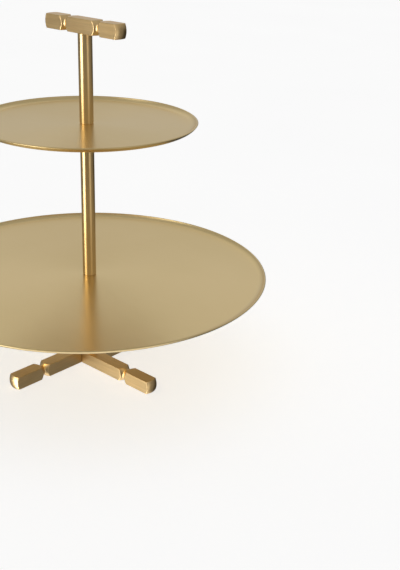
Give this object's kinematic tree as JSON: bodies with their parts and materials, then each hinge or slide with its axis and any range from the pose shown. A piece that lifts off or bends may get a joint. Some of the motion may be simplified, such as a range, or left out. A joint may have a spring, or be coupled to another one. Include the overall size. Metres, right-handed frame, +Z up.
{
  "type": "tiered cake stand",
  "caption": "Tiered cake stand: round lipped brass plates on a central rod, on a pinwheel base of square bars with turned grooves, topped by a cross-bar handle.",
  "frame": {"origin": "on the table, under the middle of the centre rod", "axes": "+Z up along the rod, +X along the right base arm's length and along the handle bar, -Y along the front base arm's length"},
  "size_m": [0.32, 0.32, 0.312],
  "materials": {
    "satin_brass": "fine satin, spun",
    "rod_brass": "polished",
    "bar_brass": "brushed along the bar",
    "steel": "plain machined",
    "fibre": "matt"
  },
  "bodies": {
    "base": {"base_arm_right": "bar_brass", "base_arm_front": "bar_brass", "base_arm_left": "bar_brass", "base_arm_back": "bar_brass", "base_dowel_right": "steel", "base_dowel_front": "steel", "base_dowel_left": "steel", "base_dowel_back": "steel", "base_screw": "steel", "base_screw_washer": "steel", "lower_post": "rod_brass", "lower_stud": "steel", "lower_plate_underwasher": "fibre", "lower_plate": "satin_brass"},
    "lower_washer": {"lower_plate_washer": "rod_brass"},
    "tier": {"tier_rod": "rod_brass", "upper_stud": "steel", "upper_plate_underwasher": "fibre", "upper_plate": "satin_brass"},
    "upper_washer": {"upper_plate_washer": "rod_brass"},
    "handle": {"handle_rod": "rod_brass", "handle_stud": "steel", "handle_bar": "bar_brass"}
  },
  "joints": [
    {"name": "tier_turn", "type": "hinge", "parent": "base", "child": "lower_washer", "pos_m": [0, 0, 0.087], "axis": [0, 0, 1], "range_deg": [0, 3600]},
    {"name": "tier_rise", "type": "slide", "parent": "lower_washer", "child": "tier", "axis": [0, 0, 1], "range_m": [0, 0.01]},
    {"name": "handle_turn", "type": "hinge", "parent": "tier", "child": "upper_washer", "pos_m": [0, 0, 0.2255], "axis": [0, 0, 1], "range_deg": [0, 3600]},
    {"name": "handle_rise", "type": "slide", "parent": "upper_washer", "child": "handle", "axis": [0, 0, 1], "range_m": [0, 0.01]}
  ],
  "couplings": [
    {"joint": "tier_rise", "follows": "tier_turn", "m_per_rad": 0.00015915},
    {"joint": "handle_rise", "follows": "handle_turn", "m_per_rad": 0.00015915}
  ]
}
